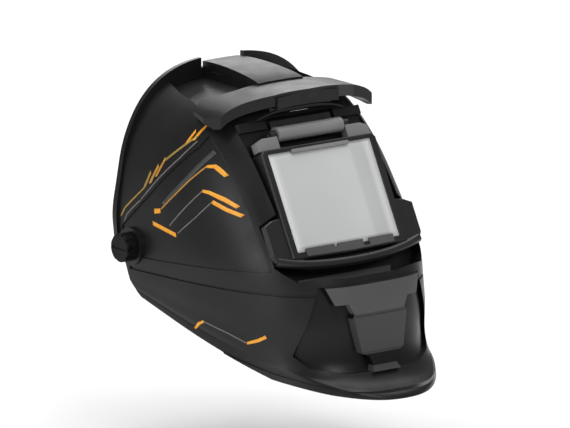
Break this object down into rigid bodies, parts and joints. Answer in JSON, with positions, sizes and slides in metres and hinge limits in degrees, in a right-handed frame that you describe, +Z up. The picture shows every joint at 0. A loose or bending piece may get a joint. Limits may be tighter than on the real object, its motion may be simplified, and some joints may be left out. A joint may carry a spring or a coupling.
{
  "type": "welding helmet",
  "caption": "Black moulded welding helmet with a brow visor, a hinged lift-up front holding an auto-darkening filter, stepped chin, side pivot knobs and ratchet headgear.",
  "frame": {"origin": "midpoint of the line between the two side pivots, inside the wearer's head", "axes": "the wearer faces -Y, +X is the wearer's left, +Z is up through the wearer's head; the shell is tipped up about 20 degrees from its worn position"},
  "size_m": [0.2628, 0.3772, 0.2661],
  "materials": {
    "shell_black": "satin moulded black",
    "frame_black": "satin moulded black",
    "barrel_grey": "satin dark grey",
    "steel": "plain",
    "clear_pane": "clear polycarbonate",
    "lens_silver": "pale reflective coating",
    "rubber_black": "matt",
    "cartridge_black": "satin",
    "filter_green": "dark green",
    "solar_dark": "gloss dark blue",
    "board_green": "solder mask",
    "strap_black": "matt",
    "dial_grey": "matt",
    "button_red": "matt",
    "foam_grey": "woven over foam",
    "nylon_white": "natural nylon",
    "knob_black": "satin",
    "brass": "turned"
  },
  "bodies": {
    "harness": {"headband": "strap_black", "front_crown_strap": "strap_black", "rear_crown_strap": "strap_black", "crown_link": "strap_black", "strap_studs": "dial_grey", "sweatband": "foam_grey", "left_side_bracket": "strap_black", "right_side_bracket": "strap_black", "pivot_bolts": "steel", "friction_washers": "nylon_white", "tilt_limiters": "dial_grey", "bracket_rivets": "steel"},
    "rear_unit": {"rear_strap": "strap_black", "nape_pad": "foam_grey", "ratchet_housing": "strap_black", "ratchet_cover": "strap_black", "cover_screws": "steel", "strap_racks": "nylon_white"},
    "ratchet_wheel": {"ratchet_knob": "knob_black", "ratchet_spindle": "steel"},
    "left_knob": {"left_pivot_knob": "knob_black", "left_knob_insert": "brass"},
    "right_knob": {"right_pivot_knob": "knob_black", "right_knob_insert": "brass"},
    "shell_body": {"shell": "shell_black", "hinge_bracket": "barrel_grey", "hinge_screws": "steel", "hinge_pin": "steel", "grinding_window": "clear_pane", "window_gasket": "rubber_black", "window_clips": "steel"},
    "flip_front": {"flip_frame": "frame_black", "frame_top_strip": "barrel_grey", "frame_bottom_strip": "barrel_grey", "cover_lens": "lens_silver", "lens_seal": "rubber_black", "filter_housing": "cartridge_black", "filter_glass": "filter_green", "solar_cell": "solar_dark", "light_sensors": "solar_dark", "circuit_board": "board_green", "batteries": "steel", "battery_board": "board_green", "battery_doors": "cartridge_black", "cartridge_retainer": "strap_black", "inner_cover_lens": "clear_pane"},
    "sensitivity": {"sensitivity_dial": "dial_grey"},
    "delay": {"delay_dial": "dial_grey"},
    "test": {"test_button": "button_red"}
  },
  "joints": [
    {"name": "shell_tilt", "type": "hinge", "parent": "harness", "child": "shell_body", "pos_m": [0, 0, 0], "axis": [-1, 0, 0], "range_deg": [-20, 60]},
    {"name": "front_lift", "type": "hinge", "parent": "shell_body", "child": "flip_front", "pos_m": [0, -0.1044, 0.1085], "axis": [-1, 0, 0], "range_deg": [0, 85]},
    {"name": "left_knob_turn", "type": "hinge", "parent": "harness", "child": "left_knob", "pos_m": [0.12, 0, 0], "axis": [1, 0, 0], "range_deg": [0, 360]},
    {"name": "right_knob_turn", "type": "hinge", "parent": "harness", "child": "right_knob", "pos_m": [-0.12, 0, 0], "axis": [-1, 0, 0], "range_deg": [0, 360]},
    {"name": "headband_size", "type": "slide", "parent": "harness", "child": "rear_unit", "axis": [0, 1, 0], "range_m": [0, 0.02]},
    {"name": "ratchet_turn", "type": "hinge", "parent": "rear_unit", "child": "ratchet_wheel", "pos_m": [0, 0.12, 0], "axis": [0, 1, 0], "range_deg": [0, 230]},
    {"name": "sensitivity_turn", "type": "hinge", "parent": "flip_front", "child": "sensitivity", "pos_m": [-0.03, -0.11506, 0.07792], "axis": [0, -0.8821, 0.471], "range_deg": [-135, 135]},
    {"name": "delay_turn", "type": "hinge", "parent": "flip_front", "child": "delay", "pos_m": [0.03, -0.11506, 0.07792], "axis": [0, -0.8821, 0.471], "range_deg": [-135, 135]},
    {"name": "test_press", "type": "slide", "parent": "flip_front", "child": "test", "axis": [0, -0.8821, 0.471], "range_m": [0, 0.001], "stiffness_N_per_m": 300, "springref_m": -0.0005}
  ],
  "couplings": [
    {"joint": "ratchet_turn", "follows": "headband_size", "rad_per_m": 200}
  ]
}
